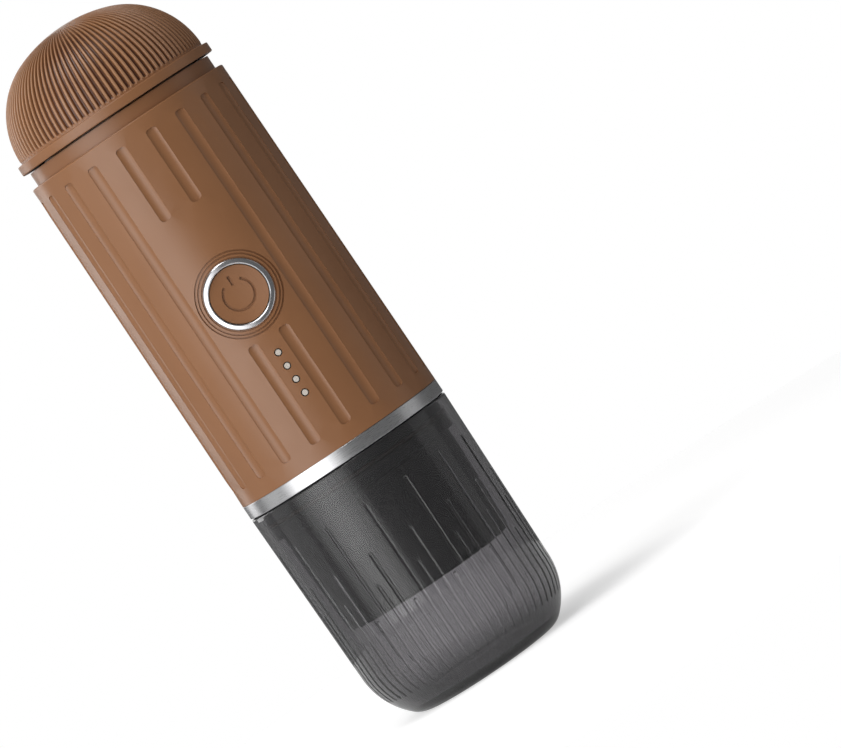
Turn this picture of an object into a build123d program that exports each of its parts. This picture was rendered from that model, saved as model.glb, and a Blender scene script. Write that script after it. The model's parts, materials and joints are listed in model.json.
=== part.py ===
"""Portable electric espresso maker: it stands on its cup, +Z up, front towards -Y, millimetres."""
from build123d import *
import math
import os

# Driving dimensions: the outside, from the base up
cup_height = 79.6
cup_rim_radius = 36.0
cup_heel_radius = 35.0
cup_heel_height = 19.5
cup_bottom_arc = 24.1
band_height = 4.6
shell_height = 118.1
shell_top_radius = 35.4
neck_height = 4.6
neck_radius = 33.1
flange_height = 3.1
flange_radius = 35.3
dome_base_radius = 33.6
dome_straight = 0.7
dome_rise = 28.4
dome_crown_radius = 45.0

# Clearances shared by the fits
body_gap = 0.3
lid_gap = 0.6
fit_gap = 0.1
snug_gap = 0.05
overrun = 2.0
weld = 0.4
full_turn = 360.0
front_angle = -90.0

# Levels of the visible joints between the outer pieces
z_cup_rim = cup_height
z_band = z_cup_rim + body_gap
z_shell = z_band + band_height
z_shell_top = z_shell + shell_height
z_deck = z_shell_top + neck_height
z_flange = z_deck + lid_gap
z_dome = z_flange + flange_height
z_shoulder = z_dome + dome_straight
z_apex = z_shoulder + dome_rise

# Screw threads of the lid and of the brew chamber
thread_lead = 12.0
thread_starts = 3
lug_thickness = 1.6
male_arc = 70.0
female_arc = 60.0
start_pitch = thread_lead / thread_starts


def shell_radius(height):
    """Outer radius of the slightly tapering body shell at a height."""
    climb_share = (height - z_shell) / shell_height
    return cup_rim_radius + (shell_top_radius - cup_rim_radius) * climb_share


def arc_point(centre, radius, degrees):
    """Point of a circle in a profile plane."""
    angle = math.radians(degrees)
    return (centre[0] + radius * math.cos(angle), centre[1] + radius * math.sin(angle))


def polar(radius, degrees):
    """Point on a circle about the Z axis."""
    return arc_point((0, 0), radius, degrees)


def outline(*points):
    """Closed straight-sided profile of (radius, height) points, ready to revolve about Z."""
    with BuildSketch(Plane.XZ) as profile:
        with BuildLine():
            Polyline(*points, close=True)
        make_face()
    return profile.sketch


def band_profile(inner, outer, bottom, top):
    """Rectangular profile of a ring."""
    return outline((inner, bottom), (outer, bottom), (outer, top), (inner, top))


def rod(centre, radius, bottom, top):
    """Upright round bar, used as a post, a hole or a pin."""
    with BuildPart() as bar:
        with BuildSketch(Plane.XY.offset(bottom)):
            with Locations(centre):
                Circle(radius)
        extrude(amount=top - bottom)
    return bar.part


def cross_rod(x, z, radius, front, back):
    """Round bar along Y between two depths."""
    with BuildPart() as bar:
        with BuildSketch(Plane.XZ.offset(-back)):
            with Locations((x, z)):
                Circle(radius)
        extrude(amount=back - front)
    return bar.part


def block(x_low, x_high, y_low, y_high, z_low, z_high):
    """Rectangular block between its sides."""
    with BuildPart() as solid:
        with BuildSketch(Plane.XY.offset(z_low)):
            with Locations(((x_low + x_high) / 2, (y_low + y_high) / 2)):
                Rectangle(x_high - x_low, y_high - y_low)
        extrude(amount=z_high - z_low)
    return solid.part


def thread_lug(inner, outer, start_height, arc, start_angle):
    """One helical lug of a three-start thread, from its lower end."""
    with BuildPart() as lug:
        with BuildLine(Plane.XY.offset(start_height)) as path:
            Helix(pitch=thread_lead, height=thread_lead * arc / full_turn, radius=(inner + outer) / 2)
        with BuildSketch(Plane(origin=path.line @ 0, x_dir=(1, 0, 0), z_dir=path.line % 0)):
            Rectangle(outer - inner, lug_thickness)
        sweep(path=path.line, is_frenet=True)
    return lug.part.rotate(Axis.Z, start_angle)


def hose(points, corner_radius, outer, inner):
    """Flexible tube along straight runs joined by arcs."""
    with BuildPart() as tube:
        with BuildLine() as route:
            FilletPolyline(*points, radius=corner_radius)
        with BuildSketch(Plane(origin=route.line @ 0, z_dir=route.line % 0)):
            Circle(outer)
            if inner > 0:
                Circle(inner, mode=Mode.SUBTRACT)
        sweep(path=route.line)
    return tube.part


os.makedirs("parts", exist_ok=True)


def save(piece, name):
    """Name a finished piece and write it to its own file."""
    piece.label = name
    export_step(piece, "parts/" + name + ".step")


# Cup: a smoked clear beaker that is both the stand and the drinking cup
cup_wall = 2.4
cup_floor = 4.0
cup_recess_radius = 18.0
cup_recess_depth = 0.8
cup_rim_fillet = 0.6
cup_foot_fillet = 8.0
cup_line_groups = 15
cup_line_tops = (65.6, 42.3, 52.0, 32.7)
cup_line_bottom = 9.3
cup_line_cutter = 0.73
cup_line_depth = 0.4
cup_line_step = full_turn / (cup_line_groups * len(cup_line_tops))
cup_arc_centre = (cup_heel_radius - cup_bottom_arc, cup_heel_height)
cup_foot_angle = -math.degrees(math.asin(cup_heel_height / cup_bottom_arc))
cup_inner_arc = cup_bottom_arc - cup_wall
cup_inner_foot_angle = -math.degrees(math.asin((cup_heel_height - cup_floor) / cup_inner_arc))


def cup_inner_radius(height):
    """Inner radius of the cup's straight wall at a height."""
    climb_share = (height - cup_heel_height) / (cup_height - cup_heel_height)
    return cup_heel_radius + (cup_rim_radius - cup_heel_radius) * climb_share - cup_wall


def cup_line_tools(top):
    """The straight run, the bend and the rounded top of one line's cutter."""
    lift = cup_line_cutter - cup_line_depth
    top_radius = cup_inner_radius(top) + cup_wall + lift
    heel_radius = cup_heel_radius + lift
    bend_angle = math.degrees(math.asin((cup_heel_height - cup_line_bottom) / cup_bottom_arc))
    run_direction = (top_radius - heel_radius, 0, top - cup_heel_height)
    with BuildPart() as run:
        with BuildSketch(Plane(origin=(heel_radius, 0, cup_heel_height), z_dir=run_direction)):
            Circle(cup_line_cutter)
        extrude(amount=math.hypot(run_direction[0], run_direction[2]))
    with BuildPart() as bend:
        with BuildSketch(Plane(origin=(heel_radius, 0, cup_heel_height), z_dir=(0, 0, 1))):
            Circle(cup_line_cutter)
        revolve(axis=Axis((cup_arc_centre[0], 0, cup_arc_centre[1]), (0, 1, 0)), revolution_arc=bend_angle)
    with BuildPart() as tip:
        with Locations((top_radius, 0, top)):
            Sphere(cup_line_cutter)
    return run.part, bend.part, tip.part


with BuildPart() as cup:
    with BuildSketch(Plane.XZ):
        with BuildLine():
            foot = arc_point(cup_arc_centre, cup_bottom_arc, cup_foot_angle)
            inner_foot = arc_point(cup_arc_centre, cup_inner_arc, cup_inner_foot_angle)
            Polyline(
                (0, cup_recess_depth),
                (cup_recess_radius, cup_recess_depth),
                (cup_recess_radius, 0),
                foot,
            )
            ThreePointArc(
                foot,
                arc_point(cup_arc_centre, cup_bottom_arc, cup_foot_angle / 2),
                (cup_heel_radius, cup_heel_height),
            )
            Polyline(
                (cup_heel_radius, cup_heel_height),
                (cup_rim_radius, cup_height),
                (cup_rim_radius - cup_wall, cup_height),
                (cup_heel_radius - cup_wall, cup_heel_height),
            )
            ThreePointArc(
                (cup_heel_radius - cup_wall, cup_heel_height),
                arc_point(cup_arc_centre, cup_inner_arc, cup_inner_foot_angle / 2),
                inner_foot,
            )
            Polyline(inner_foot, (0, cup_floor), (0, cup_recess_depth))
        make_face()
    revolve(axis=Axis.Z)
    fillet(cup.edges().group_by(Axis.Z)[-1], radius=cup_rim_fillet)
    fillet(cup.edges().group_by(Axis.Z)[0].sort_by(SortBy.RADIUS)[-1], radius=cup_foot_fillet)
    for place, line_top in enumerate(cup_line_tops):
        first_line = front_angle + cup_line_step * (place - 1)
        for line_tool in cup_line_tools(line_top):
            with PolarLocations(0, cup_line_groups, start_angle=first_line):
                add(line_tool, mode=Mode.SUBTRACT)
save(cup.part, "cup")

# Steel band: a brushed ring on the lip of the brew head, under the body shell
shell_wall = 2.2
band_edge = 0.25
lip_height = 1.1
lip_radius = 34.9
band_inner = cup_rim_radius - shell_wall
z_lip = z_band + lip_height

with BuildPart() as steel_band:
    revolve(
        outline(
            (lip_radius + snug_gap, z_band),
            (cup_rim_radius, z_band),
            (cup_rim_radius, z_shell),
            (band_inner, z_shell),
            (band_inner, z_lip),
            (lip_radius + snug_gap, z_lip),
        ),
        axis=Axis.Z,
    )
    band_rims = steel_band.edges().filter_by(
        lambda edge: edge.geom_type == GeomType.CIRCLE and edge.radius > lip_radius + band_edge
    )
    fillet(band_rims, radius=band_edge)
save(steel_band.part, "steel_band")

# Button and lights: places on the front of the body shell
button_height = 140.6
button_line_radii = (12.8, 13.8)
button_line_width = 0.55
button_line_depth = 0.5
bezel_radius = 11.1
bezel_bore = 9.4
bezel_proud = 0.25
bezel_edge = 0.35
bezel_flange_radius = 12.5
bezel_flange_back = 29.6
bezel_flange_height = 1.2
light_count = 4
light_top = 119.2
light_pitch = 4.9
light_radius = 0.9
light_hole_radius = 1.25
light_recess = 0.2
light_heights = [light_top - light_pitch * place for place in range(light_count)]

# Charging socket and its flap, at the back of the body shell
usb_height = 100.0
usb_socket_width = 9.0
usb_socket_height = 3.2
usb_window = 0.3
flap_width = 11.0
flap_height = 14.0
flap_thickness = 1.2
flap_pocket_depth = flap_thickness + body_gap
flap_hinge_radius = 0.45
flap_top = usb_height + flap_height / 2
flap_hinge_y = shell_radius(flap_top) - flap_hinge_radius
flap_trunnion = 0.8

# Body shell: the fluted casing round the battery, the pump and the heater
flute_count = 20
flute_cutter = 4.2
flute_depth = 0.6
flute_width = 3.8
flute_corner = 1.3
flute_low = 89.6
flute_high = 197.9
front_flute_break = 171.5
front_flute_restart = 125.3
rear_flute_low = 115.1
shell_edge = 0.5
ledge_top = 190.0
ledge_height = 2.0
ledge_radius = 31.0


def flute_tool(low, high):
    """Round cutter for one shallow flute at +X with rounded ends, leaning with the shell's taper."""
    lift = flute_cutter - flute_depth
    with BuildPart() as cutter:
        with BuildLine(Plane.XZ) as path:
            Line((shell_radius(low) + lift, low), (shell_radius(high) + lift, high))
        with BuildSketch(Plane(origin=path.line @ 0, z_dir=path.line % 0)):
            Circle(flute_cutter)
        sweep(path=path.line)
        with BuildSketch(Plane.YZ):
            with Locations((0, (low + high) / 2)):
                RectangleRounded(flute_width, high - low, flute_corner)
        extrude(amount=cup_rim_radius + flute_cutter, mode=Mode.INTERSECT)
    return cutter.part


with BuildPart() as body_shell:
    revolve(
        outline(
            (cup_rim_radius - shell_wall, z_shell),
            (cup_rim_radius, z_shell),
            (shell_top_radius, z_shell_top),
            (shell_top_radius - shell_wall, z_shell_top),
        ),
        axis=Axis.Z,
    )
    revolve(
        band_profile(
            ledge_radius, shell_radius(ledge_top) - shell_wall / 2,
            ledge_top - ledge_height, ledge_top,
        ),
        axis=Axis.Z,
    )
    fillet(body_shell.edges().group_by(Axis.Z)[-1].sort_by(SortBy.RADIUS)[-1], radius=shell_edge)
    flute_step = full_turn / flute_count
    for place in range(flute_count):
        flute_angle = front_angle + flute_step * (place + 1 / 2)
        beside_front = place in (0, flute_count - 1)
        beside_rear = place in (flute_count // 2 - 1, flute_count // 2)
        if beside_front:
            flute_runs = [(flute_low, front_flute_restart), (front_flute_break, flute_high)]
        elif beside_rear:
            flute_runs = [(rear_flute_low, flute_high)]
        else:
            flute_runs = [(flute_low, flute_high)]
        for run_low, run_high in flute_runs:
            add(flute_tool(run_low, run_high).rotate(Axis.Z, flute_angle), mode=Mode.SUBTRACT)
    # Fine lines round the button, as deep below the curved surface all the way round
    for line_radius in (bezel_radius + button_line_width, *button_line_radii):
        with BuildPart(mode=Mode.PRIVATE) as line_cutter:
            with BuildSketch(Plane.XZ.offset(cup_rim_radius + overrun)):
                with Locations((0, button_height)):
                    Circle(line_radius)
                    Circle(line_radius - button_line_width, mode=Mode.SUBTRACT)
            extrude(amount=-shell_radius(button_height))
            with Locations((0, 0, button_height)):
                Cylinder(shell_radius(button_height) - button_line_depth, shell_height, mode=Mode.SUBTRACT)
        add(line_cutter.part, mode=Mode.SUBTRACT)
    with BuildSketch(Plane.XZ.offset(cup_rim_radius + overrun)):
        with Locations((0, button_height)):
            Circle(bezel_radius + snug_gap)
        for light_height in light_heights:
            with Locations((0, light_height)):
                Circle(light_hole_radius)
    extrude(amount=-shell_wall - bezel_radius, mode=Mode.SUBTRACT)
    # Pocket for the flap, with round holes for its trunnions, and the window of the socket
    with BuildPart(mode=Mode.PRIVATE) as flap_pocket:
        with BuildSketch(Plane.XZ.offset(-cup_rim_radius - overrun)):
            with Locations((0, usb_height + (flap_hinge_radius + body_gap) / 2)):
                Rectangle(
                    flap_width + 2 * body_gap,
                    flap_height + flap_hinge_radius + 3 * body_gap,
                )
        extrude(amount=cup_rim_radius)
        with Locations((0, 0, usb_height)):
            Cylinder(shell_radius(usb_height) - flap_pocket_depth, shell_height, mode=Mode.SUBTRACT)
    add(flap_pocket.part, mode=Mode.SUBTRACT)
    with BuildSketch(Plane.YZ.offset(-flap_width / 2 - flap_trunnion - body_gap)):
        with Locations((flap_hinge_y, flap_top)):
            Circle(flap_hinge_radius + body_gap)
    extrude(amount=flap_width + 2 * (flap_trunnion + body_gap), mode=Mode.SUBTRACT)
    with BuildSketch(Plane.XZ.offset(-cup_rim_radius - overrun)):
        with Locations((0, usb_height)):
            RectangleRounded(
                usb_socket_width + 2 * usb_window,
                usb_socket_height + 2 * usb_window,
                usb_socket_height / 2,
            )
    extrude(amount=shell_wall + 2 * overrun, mode=Mode.SUBTRACT)
save(body_shell.part, "body_shell")

# Brew head: closes the shell's bottom, plugs into the cup and carries the brew chamber
head_shoulder_radius = band_inner - fit_gap
head_height = 12.1
head_pocket_radius = 17.0
head_pocket_floor = 4.0
skirt_radius = 33.0
skirt_wall = 2.5
skirt_depth = 10.0
spigot_root = 26.0
spigot_crest = 27.4
spigot_depth = 17.9
screen_radius = 22.0
screen_thickness = 1.2
screen_recess = 2.0
seal_height = 75.0
seal_section = 0.8
seal_proud = 0.2
gallery_radius = 1.0
gallery_height = 72.0
port_y = -9.0
inlet_x = 22.0
head_screw_radius = 29.0
head_screw_angles = (180.0, 270.0, 350.0)
screw_shank = 1.0
screw_head = 1.9
screw_head_height = 1.6
screw_depth = 8.0
z_head_top = z_band + head_height
z_spigot = z_band - spigot_depth
z_skirt = z_band - skirt_depth
head_lug_low = z_spigot + lug_thickness
groove_radius = skirt_radius + seal_proud - 2 * seal_section

with BuildPart() as brew_head:
    revolve(
        outline(
            (0, z_spigot),
            (spigot_root, z_spigot),
            (spigot_root, z_band),
            (skirt_radius - skirt_wall, z_band),
            (skirt_radius - skirt_wall, z_skirt),
            (skirt_radius, z_skirt),
            (skirt_radius, z_band),
            (lip_radius, z_band),
            (lip_radius, z_lip),
            (head_shoulder_radius, z_lip),
            (head_shoulder_radius, z_head_top),
            (head_pocket_radius, z_head_top),
            (head_pocket_radius, gallery_height + head_pocket_floor),
            (0, gallery_height + head_pocket_floor),
        ),
        axis=Axis.Z,
    )
    for place in range(thread_starts):
        add(thread_lug(
            spigot_root - weld, spigot_crest, head_lug_low, male_arc, full_turn * place / thread_starts,
        ))
    revolve(
        band_profile(
            groove_radius, skirt_radius + overrun,
            seal_height - seal_section - fit_gap, seal_height + seal_section + fit_gap,
        ),
        axis=Axis.Z,
        mode=Mode.SUBTRACT,
    )
    add(rod((0, 0), screen_radius + fit_gap, z_spigot - overrun, z_spigot + screen_recess),
        mode=Mode.SUBTRACT)
    add(rod((0, 0), gallery_radius, z_spigot, gallery_height), mode=Mode.SUBTRACT)
    add(rod((inlet_x, port_y), gallery_radius, gallery_height, z_head_top + overrun), mode=Mode.SUBTRACT)
    with BuildSketch(Plane(origin=(0, 0, gallery_height), z_dir=(inlet_x, port_y, 0))):
        Circle(gallery_radius)
    extrude(amount=math.hypot(inlet_x, port_y), mode=Mode.SUBTRACT)
    for screw_angle in head_screw_angles:
        hole_place = polar(head_screw_radius, screw_angle)
        add(rod(hole_place, screw_shank + snug_gap, z_head_top - screw_depth, z_head_top + overrun),
            mode=Mode.SUBTRACT)
save(brew_head.part, "brew_head")

with BuildPart() as cup_seal:
    with BuildSketch(Plane.XZ):
        with Locations((groove_radius + seal_section, seal_height)):
            Circle(seal_section)
    revolve(axis=Axis.Z)
save(cup_seal.part, "cup_seal")

# Shower screen: a thin steel disc with rings of fine holes
screen_hole = 0.6
screen_rings = ((0.0, 1), (3.6, 6), (7.2, 12), (10.8, 18), (14.4, 24), (18.0, 30))
z_screen = z_spigot + screen_recess - screen_thickness

with BuildPart() as shower_screen:
    with BuildSketch(Plane.XY.offset(z_screen)):
        Circle(screen_radius)
        for ring_radius, ring_holes in screen_rings:
            with PolarLocations(ring_radius, ring_holes):
                Circle(screen_hole, mode=Mode.SUBTRACT)
    extrude(amount=screen_thickness)
save(shower_screen.part, "shower_screen")

# Filter basket and its gasket: they drop straight down with the brew chamber
basket_radius = 22.0
basket_wall = 0.5
basket_depth = 22.0
basket_rim_radius = 26.0
basket_rim = 0.8
basket_hole = 0.5
basket_rings = ((0.0, 1), (3.2, 6), (6.4, 12), (9.6, 18), (12.8, 24), (16.0, 30), (19.2, 36))
gasket_inner = 22.6
gasket_outer = 25.6
gasket_thickness = 0.9
z_gasket_top = z_spigot - body_gap
z_basket_rim = z_gasket_top - gasket_thickness
z_ledge = z_basket_rim - basket_rim - body_gap
z_basket = z_basket_rim - basket_rim - basket_depth

with BuildPart() as filter_basket:
    revolve(
        outline(
            (0, z_basket),
            (basket_radius + basket_wall, z_basket),
            (basket_radius + basket_wall, z_basket_rim - basket_rim),
            (basket_rim_radius, z_basket_rim - basket_rim),
            (basket_rim_radius, z_basket_rim),
            (basket_radius, z_basket_rim),
            (basket_radius, z_basket + basket_wall),
            (0, z_basket + basket_wall),
        ),
        axis=Axis.Z,
    )
    with BuildSketch(Plane.XY.offset(z_basket - overrun)):
        for ring_radius, ring_holes in basket_rings:
            with PolarLocations(ring_radius, ring_holes):
                Circle(basket_hole)
    extrude(amount=2 * overrun, mode=Mode.SUBTRACT)
save(filter_basket.part, "filter_basket")

with BuildPart() as basket_gasket:
    revolve(band_profile(gasket_inner, gasket_outer, z_basket_rim, z_gasket_top), axis=Axis.Z)
save(basket_gasket.part, "basket_gasket")

# Brew chamber: screws onto the brew head's spigot and hangs inside the cup
chamber_bore = 28.6
chamber_female = 26.4
chamber_rim_radius = 31.0
chamber_base_radius = 29.6
chamber_height = 36.0
chamber_cavity = 24.0
chamber_floor = 3.2
chamber_corner = 1.8
outlet_radius = 1.5
outlet_cap_radius = 8.0
outlet_cap_thickness = 2.0
outlet_rim = 0.8
z_chamber_rim = z_skirt - body_gap
z_chamber = z_chamber_rim - chamber_height
chamber_lug_low = head_lug_low + start_pitch / 2

with BuildPart() as brew_chamber:
    revolve(
        outline(
            (0, z_chamber),
            (chamber_base_radius, z_chamber),
            (chamber_rim_radius, z_ledge),
            (chamber_rim_radius, z_chamber_rim),
            (chamber_bore, z_chamber_rim),
            (chamber_bore, z_ledge),
            (chamber_cavity, z_ledge),
            (chamber_cavity, z_chamber + chamber_floor),
            (0, z_chamber + chamber_floor),
        ),
        axis=Axis.Z,
    )
    fillet(brew_chamber.edges().group_by(Axis.Z)[0], radius=chamber_corner)
    for place in range(thread_starts):
        add(thread_lug(
            chamber_female, chamber_bore + weld, chamber_lug_low, female_arc,
            full_turn * place / thread_starts,
        ))
    add(rod((0, 0), outlet_cap_radius + snug_gap, z_chamber - overrun, z_chamber + outlet_cap_thickness),
        mode=Mode.SUBTRACT)
    add(rod((0, 0), outlet_radius, z_chamber, z_ledge), mode=Mode.SUBTRACT)
save(brew_chamber.part, "brew_chamber")

with BuildPart() as outlet_cap:
    add(rod((0, 0), outlet_cap_radius, z_chamber, z_chamber + outlet_cap_thickness))
    add(rod((0, 0), outlet_radius, z_chamber - overrun, z_chamber + outlet_cap_thickness + overrun),
        mode=Mode.SUBTRACT)
    add(rod((0, 0), outlet_cap_radius - outlet_rim, z_chamber - overrun, z_chamber + outlet_rim),
        mode=Mode.SUBTRACT)
save(outlet_cap.part, "outlet_cap")

# Chassis: a bottom plate with posts, and a top plate above the battery
chassis_plate = 2.5
cell_radius = 9.15
cell_length = 65.0
cell_polar = 20.5
cell_angles = (9.0, 63.0, 117.0)
cell_cap_radius = 4.0
cell_cap = 0.4
tab_thickness = 0.2
tab_width = 7.0
post_radius = 2.5
post_polar = 30.0
post_angles = (36.0, 144.0, 215.0, 325.0)
rail_side = 4.0
rail_x = 14.0
chassis_radius = 33.0
z_chassis = z_head_top
z_floor = z_chassis + chassis_plate
z_cell = z_floor + tab_thickness
z_cell_top = z_cell + cell_length
z_roof = z_cell_top + tab_thickness
z_roof_top = z_roof + chassis_plate

# Pump: a small gear pump under an upright motor, on four feet of the bottom plate
pump_y = -5.0
pump_radius = 12.0
gear_centres = 8.0
gear_phase = 90.0
gear_teeth = 10
gear_tip = 4.7
gear_root = 2.9
gear_height = 6.0
gear_tip_share = 0.2
gear_root_share = 0.52
pump_cover_thickness = 2.5
pump_body_height = 17.5
pump_port_height = 9.5
pump_foot = 3.5
pump_foot_radius = 2.0
pump_bolt_polar = 10.0
motor_radius = 12.0
motor_length = 31.0
shaft_radius = 1.0
shaft_grip = 4.0
suction_x = -20.0
nipple_radius = 2.0
nipple_bore = 1.2
nipple_reach = 14.5
suction_outer = 3.0
suction_inner = 2.05
suction_bend = 6.0
pressure_outer = 2.0
pressure_inner = 1.35
pressure_nipple = 1.3
pressure_nipple_bore = 0.7
pressure_bend = 7.0
motor_y = pump_y - gear_centres / 2
idler_y = pump_y + gear_centres / 2
gear_pocket = gear_tip + body_gap
z_cover = z_floor + pump_foot
z_pump = z_cover + pump_cover_thickness
z_port = z_pump + pump_port_height
z_motor = z_pump + pump_body_height
z_gear = z_pump + body_gap
z_gear_top = z_gear + gear_height

# Main board: upright behind the button, screwed to two rails of the bottom plate
board_front = -25.6
board_thickness = 1.6
board_half_width = 17.0
board_low = 97.0
board_high = 152.0
board_screw_heights = (101.0, 148.0)
board_screw_head = 1.4
board_screw_length = 3.0
board_back = board_front + board_thickness

# USB parts: a socket on its own small board, between the two rear cells
usb_depth = 7.0
usb_back = 26.5
usb_board_half = 5.0
usb_board_thickness = 1.0
usb_skin = 0.35
usb_tongue = 0.7
z_usb_board = usb_height - usb_socket_height / 2 - usb_board_thickness

with BuildPart() as chassis_bottom:
    add(rod((0, 0), chassis_radius, z_chassis, z_floor))
    for post_angle in post_angles:
        add(rod(polar(post_polar, post_angle), post_radius, z_chassis, z_roof))
    for side in (-1, 1):
        add(block(side * rail_x - rail_side / 2, side * rail_x + rail_side / 2,
                  board_back, board_back + rail_side, z_chassis, board_high))
        for screw_height in board_screw_heights:
            add(cross_rod(side * rail_x, screw_height, screw_shank + snug_gap,
                          board_back - overrun, board_back + board_screw_length),
                mode=Mode.SUBTRACT)
    for foot_angle in (0, 90, 180, 270):
        foot_x, foot_y = polar(pump_bolt_polar, foot_angle)
        add(rod((foot_x, pump_y + foot_y), pump_foot_radius, z_chassis, z_cover))
    add(block(-usb_board_half, usb_board_half, usb_back, usb_back + usb_depth - 2 * usb_board_thickness,
              z_chassis, z_usb_board))
    for screw_angle in head_screw_angles:
        add(rod(polar(head_screw_radius, screw_angle), screw_shank + snug_gap,
                z_chassis - overrun, z_floor + overrun), mode=Mode.SUBTRACT)
    add(rod((inlet_x, port_y), suction_outer + body_gap, z_chassis - overrun, z_floor + overrun),
        mode=Mode.SUBTRACT)
save(chassis_bottom.part, "chassis_bottom")

wire_slot = 3.0
wire_slot_x = 8.0
wire_slot_y = -26.0
with BuildPart() as chassis_top:
    add(rod((0, 0), chassis_radius, z_roof, z_roof_top))
    add(rod((suction_x, port_y), suction_outer + body_gap, z_roof - overrun, z_roof_top + overrun),
        mode=Mode.SUBTRACT)
    with BuildSketch(Plane.XY.offset(z_roof - overrun)):
        with Locations((0, wire_slot_y)):
            SlotOverall(2 * wire_slot_x, wire_slot)
    extrude(amount=chassis_plate + 2 * overrun, mode=Mode.SUBTRACT)
    for post_angle in post_angles:
        post_place = polar(post_polar, post_angle)
        add(rod(post_place, screw_shank + snug_gap, z_roof - overrun, z_roof_top + overrun),
            mode=Mode.SUBTRACT)
save(chassis_top.part, "chassis_top")

with BuildPart() as chassis_screws:
    for screw_angle in head_screw_angles:
        screw_place = polar(head_screw_radius, screw_angle)
        add(rod(screw_place, screw_head, z_floor, z_floor + screw_head_height))
        add(rod(screw_place, screw_shank, z_head_top - screw_depth + overrun, z_floor))
save(chassis_screws.part, "chassis_screws")

with BuildPart() as roof_screws:
    for post_angle in post_angles:
        screw_place = polar(post_polar, post_angle)
        add(rod(screw_place, screw_head, z_roof_top, z_roof_top + screw_head_height))
        add(rod(screw_place, screw_shank, z_roof, z_roof_top))
save(roof_screws.part, "roof_screws")

for place, cell_angle in enumerate(cell_angles):
    cell_place = polar(cell_polar, cell_angle)
    with BuildPart() as battery_cell:
        add(rod(cell_place, cell_radius, z_cell, z_cell_top - cell_cap))
        add(rod(cell_place, cell_cap_radius, z_cell_top - cell_cap, z_cell_top))
    save(battery_cell.part, "battery_cell_" + str(place + 1))

with BuildPart() as battery_tabs:
    for tab_low, first_cell, second_cell in ((z_cell_top, 0, 1), (z_floor, 1, 2)):
        first = polar(cell_polar, cell_angles[first_cell])
        second = polar(cell_polar, cell_angles[second_cell])
        middle = ((first[0] + second[0]) / 2, (first[1] + second[1]) / 2)
        tilt = math.degrees(math.atan2(second[1] - first[1], second[0] - first[0]))
        with BuildSketch(Plane.XY.offset(tab_low)):
            with Locations(Location(middle, tilt)):
                SlotOverall(math.dist(first, second) + tab_width, tab_width)
        extrude(amount=tab_thickness)
save(battery_tabs.part, "battery_tabs")

# Pump parts
bolt_angles = (45.0, 135.0, 225.0, 315.0)
bolt_places = [
    (polar(pump_bolt_polar, bolt_angle)[0], pump_y + polar(pump_bolt_polar, bolt_angle)[1])
    for bolt_angle in bolt_angles
]
bolt_grip = 6.0
pin_seat = 1.8
running_bore = shaft_radius + body_gap

with BuildPart() as pump_body:
    add(rod((0, pump_y), pump_radius, z_pump, z_motor))
    for side, nipple_size in ((-1, nipple_radius), (1, pressure_nipple)):
        with BuildSketch(Plane.YZ):
            with Locations((port_y, z_port)):
                Circle(nipple_size)
        extrude(amount=side * nipple_reach)
    for gear_y in (motor_y, idler_y):
        add(rod((0, gear_y), gear_pocket, z_pump - overrun, z_gear_top + body_gap), mode=Mode.SUBTRACT)
    add(rod((0, motor_y), running_bore, z_pump, z_motor + overrun), mode=Mode.SUBTRACT)
    add(rod((0, idler_y), running_bore, z_pump, z_gear_top + body_gap + pin_seat), mode=Mode.SUBTRACT)
    for side, bore in ((-1, nipple_bore), (1, pressure_nipple_bore)):
        with BuildSketch(Plane.YZ.offset(side * gear_pocket)):
            with Locations((port_y, z_port)):
                Circle(bore)
        extrude(amount=side * nipple_reach, mode=Mode.SUBTRACT)
        add(rod((side * (gear_pocket + bore), port_y + bore), bore, z_pump + body_gap, z_port),
            mode=Mode.SUBTRACT)
    for bolt_place in bolt_places:
        add(rod(bolt_place, screw_shank + snug_gap, z_pump - overrun, z_pump + bolt_grip),
            mode=Mode.SUBTRACT)
save(pump_body.part, "pump_body")

with BuildPart() as pump_cover:
    add(rod((0, pump_y), pump_radius, z_cover, z_pump))
    for gear_y in (motor_y, idler_y):
        add(rod((0, gear_y), running_bore, z_pump - pin_seat, z_pump + overrun), mode=Mode.SUBTRACT)
    for bolt_place in bolt_places:
        add(rod(bolt_place, screw_shank + snug_gap, z_cover - overrun, z_pump + overrun),
            mode=Mode.SUBTRACT)
save(pump_cover.part, "pump_cover")

with BuildPart() as pump_screws:
    for bolt_place in bolt_places:
        add(rod(bolt_place, screw_head, z_cover - screw_head_height, z_cover))
        add(rod(bolt_place, screw_shank, z_cover, z_pump + bolt_grip - body_gap))
save(pump_screws.part, "pump_screws")

with BuildPart() as pump_motor:
    add(rod((0, motor_y), motor_radius, z_motor, z_motor + motor_length))
    add(rod((0, motor_y), running_bore, z_motor - overrun, z_motor + shaft_grip + body_gap),
        mode=Mode.SUBTRACT)
    fillet(pump_motor.edges().group_by(Axis.Z)[-1], radius=shaft_radius)
save(pump_motor.part, "pump_motor")


def gear(centre_y, turned):
    """Small spur gear with straight-sided teeth and generous backlash."""
    tooth_angle = full_turn / gear_teeth
    points = []
    for tooth in range(gear_teeth):
        middle = turned + tooth * tooth_angle
        for radius, share in (
            (gear_root, -gear_root_share),
            (gear_tip, -gear_tip_share),
            (gear_tip, gear_tip_share),
            (gear_root, gear_root_share),
        ):
            points.append(arc_point((0, centre_y), radius, middle + share * tooth_angle / 2))
    with BuildPart() as wheel:
        with BuildSketch(Plane.XY.offset(z_gear)):
            with BuildLine():
                Polyline(*points, close=True)
            make_face()
            with Locations((0, centre_y)):
                Circle(shaft_radius, mode=Mode.SUBTRACT)
        extrude(amount=gear_height)
    return wheel.part


with BuildPart() as drive_gear:
    add(gear(motor_y, gear_phase))
save(drive_gear.part, "drive_gear")

with BuildPart() as idler_gear:
    add(gear(idler_y, front_angle + full_turn / gear_teeth / 2))
save(idler_gear.part, "idler_gear")

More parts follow.
